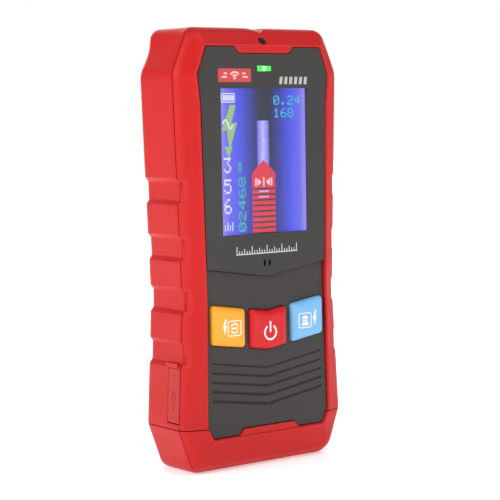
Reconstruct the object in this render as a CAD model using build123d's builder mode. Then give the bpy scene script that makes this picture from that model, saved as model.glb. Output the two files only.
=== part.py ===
"""Hand-held wall scanner (stud finder): red casing with a lower cap, display, three keys and sensing head.

Frame: +X to the right seen from the front, +Y from the front panel to the wall side, +Z up.
Origin: centre of the bottom of the bounding box. Units are millimetres.
"""

import math
import os

from build123d import *

# ---------------------------------------------------------------- driving dimensions
HEIGHT = 147.0
DEPTH = 27.0
SHOULDER_X = 34.1  # half width at the upper and lower shoulders
WAIST_X = 31.8  # half width at the waist
TOP_X = 27.6  # half width of the top edge
BOTTOM_X = 28.3  # half width of the bottom edge
UPPER_SHOULDER_Z = 132.4
WAIST_Z = 58.0
CAP_Z = 15.6  # height of the joint between the casing and its lower cap

KEY_CREST_Y = -DEPTH / 2  # foremost points of the keys
FRONT_Y = KEY_CREST_Y + 0.8  # crest of the red frame
PAD_Y = DEPTH / 2  # sliding face of the felt pads
BACK_Y = PAD_Y - 0.6  # back wall of the casing
PARTING_Y = -7.5  # joint between front frame and rear shell
SEAM = 0.3  # visible gap between casing parts
WALL = 2.0
RIDGE_OUT, RIDGE_H = 1.35, 0.8  # locating ridge: distance from the outside, and height over the joint
BAND_Y = -12.1  # depth of the sloping front at the foot of the lip round the panels
LIP_FOOT, LIP_TOP, LIP_INNER = 1.5, 0.95, 0.7  # distances of the lip's foot and top from the panels
# The front slopes back from the lip to the side walls, and their meeting edge is rounded.
SIDE_RIM_Y, SIDE_SLOPE, SIDE_EDGE_R = -9.1, 29.0, 4.8  # at the sides and the top
CHIN_RIM_Y, CHIN_SLOPE, CHIN_EDGE_R = -8.2, 20.6, 6.0  # at the bottom
ROUND_DEPTHS = [-4.05, -6.27, -7.28, -8.25, -9.13, -9.88, -10.47]  # sections of the rounded front edge
BACK_EDGE_R = 3.4
FOOT_CUT = 0.05  # how much is cut off the bottom to make a level foot
BACK_TURNS = [90, 72, 54, 36, 18, 0]  # sections of the rounded back edge, as angles along its arc

LENS_Y = -12.3  # front of the display window
LENS_T = 1.2
TAPE_T = 0.2
FLOOR_Y = LENS_Y + LENS_T + TAPE_T  # front of the frame's floor, which carries the window
FLOOR_T = 1.6
CAVITY_Y = FLOOR_Y + FLOOR_T  # back of the floor
LEDGE_Y = -10.3  # ledge that carries the keypad plate
PANEL_GAP = 0.3  # gap between the dark panels and the red frame

CHEVRON = 0.15  # rise per mm from the middle of every V-shaped line on the front
SEAM_V_Z = 64.5  # lowest point of the joint between window and keypad plate
KEY_TOP_Z = 52.8
KEY_BOTTOM_Z = 39.7

BOARD_Y = -3.6  # front face of the main board
BOARD_T = 1.6
BOARD_BACK_Y = BOARD_Y + BOARD_T

SCREW_PLACES = [(-26.8, 124.0), (26.8, 124.0), (-25.5, 64.0), (25.5, 64.0)]
BOSS_R = 2.9
POST_PLACES = [(-20.5, 133.0), (20.5, 133.0), (-18.5, 21.0), (18.5, 21.0)]
SENSOR_SCREW_PLACES = [(-20.5, 78.0), (20.5, 78.0)]
CHIN_SCREW_PLACES = [(-28.4, 20.5), (28.4, 20.5)]
CHIN_SCREW_TIP_Y = -10.5

LCD_W, LCD_H = 42.7, 60.3
LCD_TOP_Z = 129.6

BAY_X = 20.5  # half width of the battery bay
BAY_LOW_Z, BAY_TOP_Z = 17.5, 62.5
BAY_FLOOR_Y = 0.5
BAY_WALL = 1.5
TONGUE_X = 19.0  # half width of the cover's tongue
TONGUE_TOP_Z = 64.5
TONGUE_T = 1.7
RAIL_X = 1.1  # width of the tongue's side rails
RAIL_T = 0.8
SLIDE_GAP = 0.15

FLAP_LOW_Z, FLAP_TOP_Z = 17.7, 35.6
FLAP_BACK_Y = -1.0
FLAP_GAP = 0.22
FLAP_T = 1.6
USB_Y, USB_Z = -4.9, 27.0

GRIP_CENTRES = [40.4, 57.9, 75.2, 93.8]  # heights of the four finger recesses on each side
GRIP_FLOOR = 6.0
GRIP_RAMP = 1.4
GRIP_DEPTH = 1.1
FACET_DEPTH = 0.65
FACET_REACH = 4.5  # half length of the facets along their slope
FACET_TURN = 31.0  # how far the facets on the front edge turn from the side walls to the front

SIGHT_Z = 143.3


def side_x(z):
    """Half width of the casing at height z, between the two shoulders."""
    if z < WAIST_Z:
        share = (z - CAP_Z) / (WAIST_Z - CAP_Z)
        return SHOULDER_X + (WAIST_X - SHOULDER_X) * share
    share = (z - WAIST_Z) / (UPPER_SHOULDER_Z - WAIST_Z)
    return WAIST_X + (SHOULDER_X - WAIST_X) * share


def facing(y):
    """Sketch plane at depth y that looks to the front: local x is X, local y is Z, extruding goes to -Y."""
    return Plane.XZ.offset(-y)


def save(builder, name):
    """Labels the finished piece and writes it as one STEP file."""
    builder.part.label = name
    export_step(builder.part, os.path.join("parts", name + ".step"))


# ---------------------------------------------------------------- outlines shared by several pieces
# Corners of the right half, from the bottom up: bottom edge, lower shoulder, waist, a point of the flank,
# upper shoulder, bevel and top edge. Each outline lists the same seven corners.
FLANK_Z = 122.0
BEVEL_Z = 139.3
RIM_CORNERS = [
    (BOTTOM_X, -FOOT_CUT),
    (SHOULDER_X, CAP_Z),
    (WAIST_X, WAIST_Z),
    (33.78, FLANK_Z),
    (SHOULDER_X, UPPER_SHOULDER_Z),
    (31.2, BEVEL_Z),
    (TOP_X, HEIGHT),
]
RIM_RADII = [4.8, 7.0, 150, 0, 9.0, 120, 4.8]  # 0 leaves a corner as it is
BACK_CORNERS = RIM_CORNERS[:5] + [(30.4, BEVEL_Z), (29.4, HEIGHT)]
BACK_RADII = [4.4, 7.0, 150, 0, 9.0, 15, 3.6]
PANEL_CORNERS = [
    (23.1, 12.2),
    (25.3, 16.6),
    (24.6, WAIST_Z),
    (26.0, FLANK_Z),
    (27.0, 131.6),
    (25.3, 136.0),
    (23.7, 140.5),
]
BAND_RADII = [1.2, 1.2, 150, 0, 2.5, 150, 1.2]


def moved_in(corners, sides, bottom):
    """Corners of the outline after its edges move inwards, the bottom edge by its own distance."""
    first, last = corners[0], corners[-1]
    ring = [(-first[0], first[1])] + corners + [(-last[0], last[1])]
    moved = []
    for before, here, after in zip(ring, corners, ring[2:]):
        along = (Vector(*here) - Vector(*before)).normalized()
        onward = (Vector(*after) - Vector(*here)).normalized()
        inwards = Vector(-along.Y - onward.Y, along.X + onward.X)
        moved.append(Vector(*here) + inwards * (sides / (1 + along.dot(onward))))
    cap_side = moved[1] - moved[0]
    moved[0] = moved[0] + cap_side * ((bottom - sides) / cap_side.Y)
    return [(point.X, point.Y) for point in moved]


def closed_outline(corners):
    """Symmetric polygon from the corners of its right half, as a sketch on the XY plane."""
    with BuildSketch() as sketch:
        with BuildLine():
            Polyline(*corners, *[(-x, z) for x, z in reversed(corners)], close=True)
        make_face()
    return sketch.sketch


def body_outline(sides, bottom=None):
    """Outline of the casing, moved inwards from the outside of its side walls."""
    return closed_outline(moved_in(RIM_CORNERS, sides, sides if bottom is None else bottom))


def section(corners, radii, y):
    """Outline at depth y, with each pair of corners rounded by its own radius."""
    ring = [Vector(x, z) for x, z in corners] + [Vector(-x, z) for x, z in reversed(corners)]
    bends = []
    befores, afters = ring[-1:] + ring, ring[1:] + ring[:1]
    for before, here, after, radius in zip(befores, ring, afters, radii + radii[::-1]):
        along = (here - before).normalized()
        onward = (after - here).normalized()
        reach = radius * math.tan(math.radians(along.get_angle(onward)) / 2)
        bends.append((here - along * reach, here + onward * reach, along))
    with BuildSketch(facing(y)) as sketch:
        with BuildLine():
            for (_, left, _), (reached, end, along) in zip(bends[-1:] + bends, bends):
                Line(left, reached)
                if (end - reached).length > 0.01:
                    TangentArc(reached, end, tangent=along)
        make_face()
    return sketch.sketch.face()


def arc_start(rim_y, slope, radius):
    """Depth at which the rounding leaves the wall."""
    return rim_y + radius * math.tan(math.radians(90 - slope) / 2)


def rounding(y, rim_y, slope, radius):
    """Distance from the wall to the surface at depth y: the wall, then an arc, then the slope."""
    start = arc_start(rim_y, slope, radius)
    end = start - radius * math.cos(math.radians(slope))
    if y >= start:
        return 0.0
    if y >= end:
        return radius - math.sqrt(radius**2 - (start - y) ** 2)
    return radius * (1 - math.sin(math.radians(slope))) + (end - y) / math.tan(math.radians(slope))


ARC_START_Y = arc_start(SIDE_RIM_Y, SIDE_SLOPE, SIDE_EDGE_R)


def wall_cut(side, z, depth):
    """What a recess of this depth takes off the side wall and its rounded back edge, at one height."""
    x, out = side_x(z) - depth, SHOULDER_X + 4
    with BuildSketch(Plane.XY.offset(z)) as sketch:
        with BuildLine():
            Polyline((side * out, -DEPTH), (side * x, -DEPTH), (side * x, BACK_Y - BACK_EDGE_R))
            TangentArc(
                (side * x, BACK_Y - BACK_EDGE_R), (side * (x - BACK_EDGE_R), BACK_Y), tangent=(0, 1)
            )
            Polyline(
                (side * (x - BACK_EDGE_R), BACK_Y),
                (side * (x - BACK_EDGE_R), BACK_Y + 2),
                (side * out, BACK_Y + 2),
                (side * out, -DEPTH),
            )
        make_face()
    return sketch.sketch.face()


def grip_recess(side, z):
    """What one finger recess takes away: a flat floor with ramps on the side wall, and a facet in front."""
    half_floor = GRIP_FLOOR / 2
    half_mouth = half_floor + GRIP_RAMP
    steps = [(-half_mouth, 0), (-half_floor, GRIP_DEPTH), (half_floor, GRIP_DEPTH), (half_mouth, 0)]
    loft([wall_cut(side, z + rise, depth) for rise, depth in steps], ruled=True)
    turn = math.radians(FACET_TURN)
    corner = (side * (side_x(z) - SIDE_EDGE_R), ARC_START_Y, z)
    outwards = (side * math.cos(turn), -math.sin(turn), 0)
    across = Plane(origin=corner, x_dir=outwards, z_dir=(-math.sin(turn), -side * math.cos(turn), 0))
    reach = SIDE_EDGE_R - FACET_DEPTH
    with BuildSketch(across) as corner_cut:
        with BuildLine():
            Polyline(
                (SIDE_EDGE_R + 3, -half_mouth),
                (SIDE_EDGE_R, -half_mouth),
                (reach, -half_floor),
                (reach, half_floor),
                (SIDE_EDGE_R, half_mouth),
                (SIDE_EDGE_R + 3, half_mouth),
                close=True,
            )
        make_face()
    extrude(corner_cut.sketch, amount=FACET_REACH, both=True)


def grip_cuts():
    """Everything the eight finger recesses take away from the casing."""
    with BuildPart() as cuts:
        for side in (-1, 1):
            for z in GRIP_CENTRES:
                grip_recess(side, z)
    return cuts.part


GRIP_CUTS = grip_cuts()


def front_section(y):
    """Outline of the casing at a depth within its rounded front edge."""
    sides = rounding(y, SIDE_RIM_Y, SIDE_SLOPE, SIDE_EDGE_R)
    bottom = rounding(y, CHIN_RIM_Y, CHIN_SLOPE, CHIN_EDGE_R)
    radii = [r - sides if 0 < r < 15 else r for r in RIM_RADII]
    return section(moved_in(RIM_CORNERS, sides, bottom), radii, y)


def back_section(turn):
    """Outline of the casing at an angle along the arc of its rounded back edge."""
    angle = math.radians(turn)
    inset = BACK_EDGE_R * (1 - math.cos(angle))
    radii = [r - inset if 0 < r < 10 else r for r in BACK_RADII]
    y = BACK_Y - BACK_EDGE_R * (1 - math.sin(angle))
    return section(moved_in(BACK_CORNERS, inset, inset), radii, y)


def lip_section(distance, y):
    """Outline round the panels at a distance from them."""
    return section(moved_in(PANEL_CORNERS, -distance, -distance), BAND_RADII, y)


def hull():
    """Outer form of the closed casing, without its joints."""
    with BuildPart() as form:
        sections = [back_section(turn) for turn in BACK_TURNS]
        sections += [front_section(y) for y in ROUND_DEPTHS]
        sections += [lip_section(LIP_FOOT, BAND_Y), lip_section(LIP_TOP, FRONT_Y)]
        loft(sections, ruled=True)
        split(bisect_by=Plane.XY, keep=Keep.TOP)
        add(GRIP_CUTS, mode=Mode.SUBTRACT)
        # V groove across the top edge, for marking the wall
        with BuildSketch(facing(BACK_Y + 1)):
            with BuildLine():
                Polyline((-4.6, HEIGHT + 0.4), (0, HEIGHT - 1.8), (4.6, HEIGHT + 0.4), close=True)
            make_face()
        extrude(amount=DEPTH + 2, mode=Mode.SUBTRACT)
        # round scoop at the front end of the groove
        with Locations(Location((0, FRONT_Y + 0.2, SIGHT_Z), (55, 0, 0))):
            Cone(1.5, 4.3, 2.8, mode=Mode.SUBTRACT)
    return form.part


def half_outline(points):
    """Closed sketch from the points of its right half, listed from the bottom to the top."""
    mirrored = [(-x, z) for x, z in reversed(points) if x > 0]
    with BuildSketch() as sketch:
        with BuildLine():
            Polyline(*points, *mirrored, close=True)
        make_face()
    return sketch.sketch


FLANGE_RISE = 1.2  # how far the keypad plate reaches up behind the window
LENS_POINTS = [
    (0, SEAM_V_Z),
    (24.85, SEAM_V_Z + 24.85 * CHEVRON),
    (26.0, 122.0),
    (27.0, 131.6),
    (23.7, 140.5),
    (12.4, 140.5),
    (10.6, 138.3),
]
PLATE_POINTS = [
    (10.8, 14.3),
    (12.6, 12.2),
    (23.1, 12.2),
    (25.3, 16.6),
    (24.6, 58.0),
    (24.8, SEAM_V_Z - PANEL_GAP + 24.8 * CHEVRON),
    (0, SEAM_V_Z - PANEL_GAP),
]
FLANGE_POINTS = PLATE_POINTS[:4] + [
    (24.6, WAIST_Z),
    (24.6, SEAM_V_Z + FLANGE_RISE + 24.6 * CHEVRON),
    (0, SEAM_V_Z + FLANGE_RISE),
]


def lens_outline(grow=0.0):
    """Outline of the display window, with its corners eased."""
    with BuildSketch() as sketch:
        add(half_outline(LENS_POINTS))
        fillet(sketch.vertices().filter_by(lambda v: v.Y > 130), 0.8)
        if grow:
            offset(amount=grow)
    return sketch.sketch


def plate_outline(grow=0.0):
    """Outline of the keypad plate, with its lower corners eased."""
    with BuildSketch() as sketch:
        add(half_outline(PLATE_POINTS))
        fillet(sketch.vertices().filter_by(lambda v: v.Y < 20), 0.8)
        if grow:
            offset(amount=grow)
    return sketch.sketch


def flange_outline():
    """Outline of the keypad plate's flange, which blocks the view through the joint above it."""
    with BuildSketch() as sketch:
        add(half_outline(FLANGE_POINTS))
        offset(amount=-PANEL_GAP / 2)
    return sketch.sketch


def cut_prism(sketch, y_from, y_to):
    """Removes a sketch's prism between two depths."""
    with BuildSketch(facing(y_to)) as placed:
        add(sketch)
    extrude(placed.sketch, amount=y_to - y_from, mode=Mode.SUBTRACT)


def add_prism(sketch, y_from, y_to):
    """Adds a sketch's prism between two depths."""
    with BuildSketch(facing(y_to)) as placed:
        add(sketch)
    extrude(placed.sketch, amount=y_to - y_from)


def box_between(x0, x1, y0, y1, z0, z1, mode=Mode.ADD):
    """Block given by its limits along each axis."""
    with Locations(((x0 + x1) / 2, (y0 + y1) / 2, (z0 + z1) / 2)):
        Box(x1 - x0, y1 - y0, z1 - z0, mode=mode)


def rods(places, radius, y0, y1, mode=Mode.ADD):
    """Round rods along Y at the given (x, z) places."""
    with Locations([Location((x, (y0 + y1) / 2, z), (90, 0, 0)) for x, z in places]):
        Cylinder(radius, y1 - y0, mode=mode)


def cut_panel_seat():
    """Cuts the sloping inside of the lip and the seats of the window and keypad plate."""
    with BuildSketch(facing(FRONT_Y - 0.01)) as mouth:
        add(closed_outline(moved_in(PANEL_CORNERS, -LIP_INNER, -LIP_INNER)))
    with BuildSketch(facing(LENS_Y)) as throat:
        add(closed_outline(moved_in(PANEL_CORNERS, -PANEL_GAP, -PANEL_GAP)))
    loft([mouth.sketch.face(), throat.sketch.face()], ruled=True, mode=Mode.SUBTRACT)
    cut_prism(lens_outline(PANEL_GAP), FRONT_Y - 1, FLOOR_Y)
    cut_prism(plate_outline(PANEL_GAP), FRONT_Y - 1, LEDGE_Y)
    cut_prism(half_outline(FLANGE_POINTS), FLOOR_Y - 0.1, LEDGE_Y)


HULL = hull()
CASE_TOP = Plane.XY.offset(CAP_Z + SEAM / 2)
CASE_BOTTOM = Plane.XY.offset(CAP_Z - SEAM / 2)
CASE_FRONT = facing(PARTING_Y - SEAM / 2)
CASE_REAR = facing(PARTING_Y + SEAM / 2)


# ---------------------------------------------------------------- casing
def make_front_frame():
    """Red frame round the dark panels, with the floor that carries them."""
    with BuildPart() as piece:
        add(HULL)
        split(bisect_by=CASE_FRONT, keep=Keep.TOP)
        split(bisect_by=CASE_TOP, keep=Keep.TOP)
        cut_prism(body_outline(WALL), CAVITY_Y, PARTING_Y + 1)
        cut_prism(body_outline(RIDGE_OUT - 0.1), PARTING_Y - RIDGE_H - 0.15, PARTING_Y + 1)
        # solid ground behind the marking groove
        box_between(-7, 7, CAVITY_Y - 1, PARTING_Y - SEAM / 2, 140.5, 143.5)
        cut_panel_seat()
        # window for the display module, with room for its flex
        lcd_low = LCD_TOP_Z - LCD_H
        x = LCD_W / 2 + 0.25
        box_between(-x, x, FLOOR_Y - 1, CAVITY_Y + 1, lcd_low - 0.25, LCD_TOP_Z + 0.25, Mode.SUBTRACT)
        box_between(-10, 10, FLOOR_Y - 1, CAVITY_Y + 1, lcd_low - 1.4, lcd_low, Mode.SUBTRACT)
        # slot for the light pipe
        box_between(-3.0, 3.0, FLOOR_Y - 1, CAVITY_Y + 1, 132.5, 134.5, Mode.SUBTRACT)
        # opening behind the keypad plate
        box_between(-22.9, 22.9, LEDGE_Y - 1, CAVITY_Y + 1, CAP_Z - 1, 62.3, Mode.SUBTRACT)
        box_between(-25.1, 25.1, LEDGE_Y - 1, CAVITY_Y + 1, 37.0, 59.6, Mode.SUBTRACT)
        for place in SCREW_PLACES:
            rods([place], BOSS_R, CAVITY_Y - 0.2, -5.4)
        for place in SCREW_PLACES:
            rods([place], 1.05, -9.9, -4.4, Mode.SUBTRACT)
        rods(CHIN_SCREW_PLACES, 0.8, CHIN_SCREW_TIP_Y - 0.15, CAVITY_Y + 0.1, Mode.SUBTRACT)
        # hole through the floor of the scoop for the sight
        with Locations(Location((0, FRONT_Y + 0.2, SIGHT_Z), (55, 0, 0))):
            Cylinder(1.35, 7, mode=Mode.SUBTRACT)
    save(piece, "front_frame")


def make_front_chin():
    """Red lower cap of the front, hooked behind the frame by two tabs."""
    with BuildPart() as piece:
        add(HULL)
        split(bisect_by=CASE_FRONT, keep=Keep.TOP)
        split(bisect_by=CASE_BOTTOM, keep=Keep.BOTTOM)
        cut_prism(body_outline(WALL, CHIN_EDGE_R), CAVITY_Y, PARTING_Y + 1)
        cut_panel_seat()
        for side in (-1, 1):
            x_in, x_out = sorted((side * 26.4, side * 30.4))
            box_between(x_in, x_out, CAVITY_Y, -8.0, CAP_Z - 3, 24.0)
        box_between(-30.4, 30.4, CAVITY_Y, -8.0, CAP_Z - 3.2, CAP_Z - 1.2)
        rods(CHIN_SCREW_PLACES, 1.15, CAVITY_Y - 1, -7.0, Mode.SUBTRACT)
    save(piece, "front_chin")


def make_rear_shell():
    """Red rear casing: sensing head, battery bay, charging port and screw bosses."""
    with BuildPart() as piece:
        add(HULL)
        split(bisect_by=CASE_REAR, keep=Keep.BOTTOM)
        split(bisect_by=CASE_TOP, keep=Keep.TOP)
        cut_prism(body_outline(WALL), PARTING_Y - 1, BACK_Y - WALL)
        # locating ridge that reaches into the front frame
        with BuildSketch(facing(PARTING_Y + 1)):
            add(body_outline(RIDGE_OUT))
            add(body_outline(WALL - 0.05), mode=Mode.SUBTRACT)
        extrude(amount=1 + RIDGE_H)
        box_between(-40, 40, -12, PARTING_Y + 1.2, -1, CAP_Z + SEAM / 2, Mode.SUBTRACT)
        box_between(-40, 40, -12, PARTING_Y + SEAM / 2, 0, 25.5, Mode.SUBTRACT)
        # solid ground behind the marking groove
        box_between(-7, 7, PARTING_Y + SEAM / 2, BACK_Y - 1, 140.5, 145.05)
        # lower wall that closes the casing above the cap
        with BuildSketch(Plane.XY.offset(CAP_Z + SEAM / 2)):
            with Locations((0, 1.7)):
                Rectangle(62.5, 18.6)
        extrude(amount=1.2)
        # battery bay
        outer = BAY_X + 2.5
        box_between(
            -outer, outer, BAY_FLOOR_Y - BAY_WALL, BACK_Y - 0.1, CAP_Z + SEAM / 2, BAY_TOP_Z + 3.6
        )
        box_between(-BAY_X, BAY_X, BAY_FLOOR_Y, BACK_Y + 1, BAY_LOW_Z, BAY_TOP_Z, Mode.SUBTRACT)
        # channel for the cover's tongue and rails
        tongue = TONGUE_X + SLIDE_GAP
        rail = TONGUE_X + RAIL_X + SLIDE_GAP
        inner_y = BACK_Y - TONGUE_T
        box_between(
            -tongue, tongue, inner_y - SLIDE_GAP, BACK_Y + 1, 0, TONGUE_TOP_Z + SLIDE_GAP, Mode.SUBTRACT
        )
        box_between(
            -rail,
            rail,
            inner_y - SLIDE_GAP,
            inner_y + RAIL_T + SLIDE_GAP,
            0,
            TONGUE_TOP_Z - 2 + SLIDE_GAP,
            Mode.SUBTRACT,
        )
        # passage for the battery lead
        box_between(8.6, 15.4, 1.2, 5.4, BAY_TOP_Z - 1, BAY_TOP_Z + 4.0, Mode.SUBTRACT)
        # bosses for the case screws, entered from the back
        for place in SCREW_PLACES:
            rods([place], BOSS_R + 0.3, -5.3, BACK_Y - 0.5)
        for place in SCREW_PLACES:
            rods([place], 2.6, 2.0, BACK_Y + 1, Mode.SUBTRACT)
            rods([place], 1.4, -7.0, 3.0, Mode.SUBTRACT)
        # posts under the main board
        rods(POST_PLACES[:2], 2.5, BOARD_BACK_Y, BACK_Y - 1)
        rods(POST_PLACES[2:], 2.5, BOARD_BACK_Y, BAY_FLOOR_Y - 0.5)
        rods(POST_PLACES[:2], 0.8, BOARD_BACK_Y - 1, 2.6, Mode.SUBTRACT)
        rods(POST_PLACES[2:], 0.8, BOARD_BACK_Y - 1, 0.0, Mode.SUBTRACT)
        # pegs under the sensor board
        rods(SENSOR_SCREW_PLACES, 2.2, 9.8, BACK_Y - 1)
        rods(SENSOR_SCREW_PLACES, 0.8, 9.0, BACK_Y - 1.2, Mode.SUBTRACT)
        # charging port: thickened wall, seat of the rubber cover and opening of the socket
        box_between(-33.0, -29.6, PARTING_Y + SEAM / 2 + 1.4, FLAP_BACK_Y + 1.6, 16.2, 37.4)
        cut_flap_seat()
        # shallow seats of the glide pads and the rating label
        box_between(-21, 21, BACK_Y - 0.3, BACK_Y + 1, 126.0, 135.0, Mode.SUBTRACT)
        box_between(-21, 21, BACK_Y - 0.3, BACK_Y + 1, 68.5, 77.5, Mode.SUBTRACT)
        box_between(-19, 19, BACK_Y - 0.15, BACK_Y + 1, 84.0, 118.0, Mode.SUBTRACT)
    save(piece, "rear_shell")


def flap_seat_x(z):
    """Depth of the rubber cover's inner face at height z."""
    return -(side_x(z) - FLAP_T)


def cut_flap_seat():
    """Cuts the pocket of the rubber cover and the opening to the socket out of the left wall."""
    low, top = FLAP_LOW_Z - FLAP_GAP, FLAP_TOP_Z + FLAP_GAP
    with BuildSketch(facing(FLAP_BACK_Y + FLAP_GAP)) as pocket:
        with BuildLine():
            Polyline(
                (-40, low),
                (flap_seat_x(low) + 0.1, low),
                (flap_seat_x(top) + 0.1, top),
                (-40, top),
                close=True,
            )
        make_face()
    extrude(pocket.sketch, amount=12, mode=Mode.SUBTRACT)
    box_between(-40, -27, USB_Y - 1.75, USB_Y + 1.75, USB_Z - 4.35, USB_Z + 4.9, Mode.SUBTRACT)


def make_battery_cover():
    """Red rear lower cap with a tongue that closes the battery bay; it slides down to open."""
    with BuildPart() as piece:
        add(HULL)
        split(bisect_by=CASE_REAR, keep=Keep.BOTTOM)
        split(bisect_by=CASE_BOTTOM, keep=Keep.BOTTOM)
        cut_prism(body_outline(WALL), PARTING_Y - 1, BACK_Y - WALL)
        inner_y = BACK_Y - TONGUE_T
        box_between(-TONGUE_X, TONGUE_X, inner_y, BACK_Y, CAP_Z - 4, TONGUE_TOP_Z)
        rail = TONGUE_X + RAIL_X
        box_between(-rail, rail, inner_y, inner_y + RAIL_T, CAP_Z - 4, TONGUE_TOP_Z - 2)
        # thumb ridges and seat of the lower glide pad
        for step in range(5):
            z = 49.0 + 2.4 * step
            box_between(-9, 9, BACK_Y - 0.5, BACK_Y + 1, z, z + 1.2, Mode.SUBTRACT)
        box_between(-21, 21, BACK_Y - 0.3, BACK_Y + 1, 5.2, 12.2, Mode.SUBTRACT)
    save(piece, "battery_cover")


def make_usb_cover():
    """Rubber cover of the charging port: a flat flap with a rounded hinge end and a plug."""
    with BuildPart() as piece:
        with BuildSketch(facing(FLAP_BACK_Y)) as profile:
            with BuildLine():
                Polyline(
                    (-side_x(FLAP_LOW_Z), FLAP_LOW_Z),
                    (flap_seat_x(FLAP_LOW_Z), FLAP_LOW_Z),
                    (flap_seat_x(FLAP_TOP_Z), FLAP_TOP_Z),
                    (-side_x(FLAP_TOP_Z), FLAP_TOP_Z),
                    close=True,
                )
            make_face()
            fillet(profile.vertices().sort_by(Axis.Y)[:2], FLAP_T / 2 - 0.02)
        extrude(amount=FLAP_BACK_Y - (PARTING_Y + SEAM / 2))
        add(HULL, mode=Mode.INTERSECT)
        x = flap_seat_x(USB_Z)
        box_between(x - 0.3, x + 1.4, USB_Y - 1.6, USB_Y + 1.6, USB_Z - 4.2, USB_Z + 4.2)
    save(piece, "usb_cover")


# ---------------------------------------------------------------- front panels and keys
def make_display_lens():
    """Clear window with a V-shaped lower edge, an opening for the light pipe and two sound slots."""
    with BuildPart() as piece:
        add_prism(lens_outline(), LENS_Y, LENS_Y + LENS_T)
        box_between(-2.9, 2.9, LENS_Y - 1, LENS_Y + 3, 132.6, 134.4, Mode.SUBTRACT)
        with BuildSketch(facing(LENS_Y + 3)):
            with Locations((-1.05, 68.9), (1.05, 68.9)):
                SlotOverall(2.2, 0.9, rotation=90)
        extrude(amount=6, mode=Mode.SUBTRACT)
    save(piece, "display_lens")


def make_lens_tape():
    """Adhesive frame between the window and the floor."""
    with BuildPart() as piece:
        add_prism(lens_outline(-0.6), LENS_Y + LENS_T, FLOOR_Y)
        x = LCD_W / 2 + 0.3
        low = LCD_TOP_Z - LCD_H - 0.3
        box_between(-x, x, LENS_Y, FLOOR_Y + 1, low, LCD_TOP_Z + 0.3, Mode.SUBTRACT)
        box_between(-3.0, 3.0, LENS_Y, FLOOR_Y + 1, 132.5, 134.5, Mode.SUBTRACT)
        box_between(-2.4, 2.4, LENS_Y, FLOOR_Y + 1, 67.4, low + 1, Mode.SUBTRACT)
    save(piece, "lens_tape")


KEY_IN_X, KEY_OUT_X = 9.8, 23.5
POWER_X = 7.75


def key_outline(x0, x1, grow=0.0):
    """Key between two half widths, cut off by the V-shaped top and bottom lines."""
    turns = [x for x in (x0, 0.0, x1) if x0 <= x <= x1]
    low = [(x, KEY_BOTTOM_Z + CHEVRON * abs(x)) for x in turns]
    high = [(x, KEY_TOP_Z + CHEVRON * abs(x)) for x in reversed(turns)]
    with BuildSketch() as sketch:
        with BuildLine():
            Polyline(*low, *high, close=True)
        make_face()
        ends = sketch.vertices().filter_by(lambda v: abs(v.X) > 1)
        fillet(ends, 1.2)
        if grow:
            offset(amount=grow)
    return sketch.sketch


KEYS = {
    "left": (-KEY_OUT_X, -KEY_IN_X),
    "power": (-POWER_X, POWER_X),
    "right": (KEY_IN_X, KEY_OUT_X),
}


def key_centre(name):
    """Middle of a key in x and z."""
    x0, x1 = KEYS[name]
    x = (x0 + x1) / 2
    return x, (KEY_TOP_Z + KEY_BOTTOM_Z) / 2 + CHEVRON * abs(x)


def make_keypad_plate():
    """Dark lower panel with three key openings and five V-shaped grip grooves."""
    top_y, low_y = -11.2, -11.95  # face depth at the top and bottom of the plate
    with BuildPart() as piece:
        add_prism(plate_outline(), low_y - 0.2, LEDGE_Y)
        add_prism(flange_outline(), FLOOR_Y + 0.05, LEDGE_Y)
        box_between(-22.6, 22.6, LEDGE_Y - 0.1, -9.0, CAP_Z + 2.2, 62.0)
        box_between(-24.6, 24.6, LEDGE_Y - 0.1, -9.0, 37.3, 59.3)
        with BuildSketch(Plane.YZ):
            with BuildLine():
                Polyline((-20, 0), (low_y, 0), (low_y, 12), (top_y, 68), (-20, 68), close=True)
            make_face()
        extrude(amount=30, both=True, mode=Mode.SUBTRACT)
        for name, (x0, x1) in KEYS.items():
            cut_prism(key_outline(x0, x1, 0.22), -20, 0)
        for row in range(5):
            grip_groove(33.6 - 3.1 * row)
    save(piece, "keypad_plate")


def grip_groove(z):
    """Cuts one V-shaped groove: a triangle sheared outward from the middle to both sides."""
    reach = 23.4
    y = -11.7
    for side in (-1, 1):
        with BuildSketch(Plane.YZ) as groove:
            with BuildLine():
                Polyline((y - 0.8, z - 1.25), (y + 0.45, z), (y - 0.8, z + 1.25), close=True)
            make_face()
        extrude(groove.sketch, amount=reach, dir=(side, 0, CHEVRON), mode=Mode.SUBTRACT)


def make_key(name):
    """Key cap with a rounded crest, a retaining flange and a post over its switch."""
    x0, x1 = KEYS[name]
    with BuildPart() as piece:
        add_prism(key_outline(x0, x1), KEY_CREST_Y, -8.3)
        crest = piece.faces().sort_by(Axis.Y)[0]
        fillet(crest.edges(), 1.1)
        add_prism(key_outline(x0, x1, 0.6), -8.6, -7.7)
        rods([key_centre(name)], 1.8, -7.8, -7.0)
    save(piece, name + "_key")


def make_switch_stem(name):
    """Stem of one tactile switch."""
    with BuildPart() as piece:
        rods([key_centre(name)], 1.5, -6.95, -5.5)
    save(piece, name + "_switch_stem")


def make_switch_bodies():
    """The three tactile switches on the main board."""
    with BuildPart() as piece:
        for name in KEYS:
            x, z = key_centre(name)
            box_between(x - 3, x + 3, -5.8, BOARD_Y, z - 3, z + 3)
            rods([(x, z)], 1.6, -7.0, -4.6, Mode.SUBTRACT)
    save(piece, "switch_bodies")


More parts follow.
